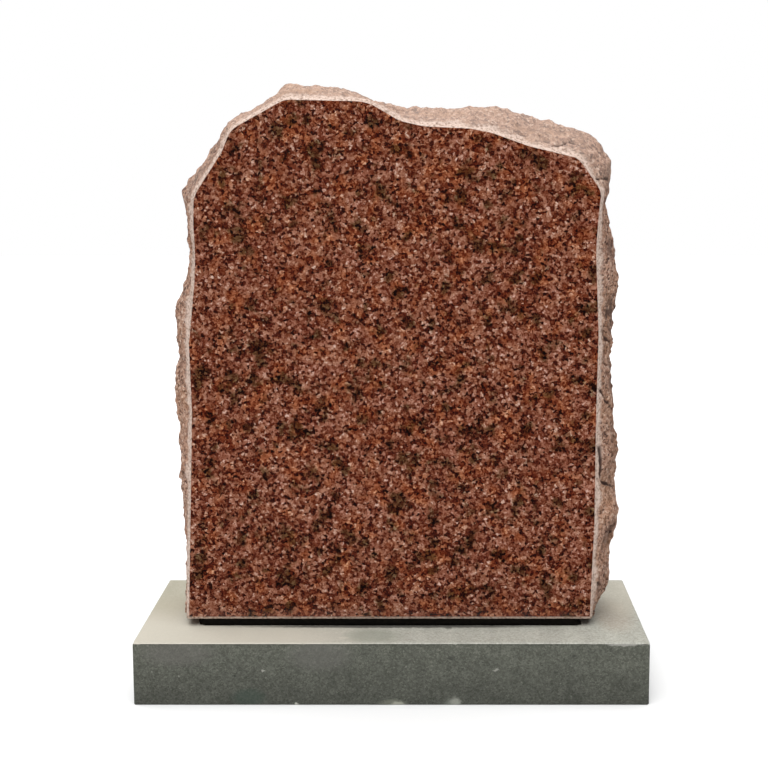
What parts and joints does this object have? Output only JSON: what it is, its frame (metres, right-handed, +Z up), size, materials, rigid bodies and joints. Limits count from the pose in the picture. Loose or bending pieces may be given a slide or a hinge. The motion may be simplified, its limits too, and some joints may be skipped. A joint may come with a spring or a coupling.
{
  "type": "grave marker",
  "caption": "Upright headstone of red granite with a polished face and rock-pitched edges, bedded on a rectangular grey granite plinth.",
  "frame": {"origin": "middle of the plinth's underside", "axes": "+Z up; +X to the right of someone who reads the polished face; the face looks along -Y"},
  "size_m": [0.8, 0.3, 0.9564],
  "materials": {
    "red_granite": "satin",
    "black_mastic": "matte",
    "grey_granite": "matte"
  },
  "bodies": {
    "root": {"headstone": "red_granite", "setting_strip": "black_mastic", "plinth": "grey_granite"}
  },
  "joints": []
}
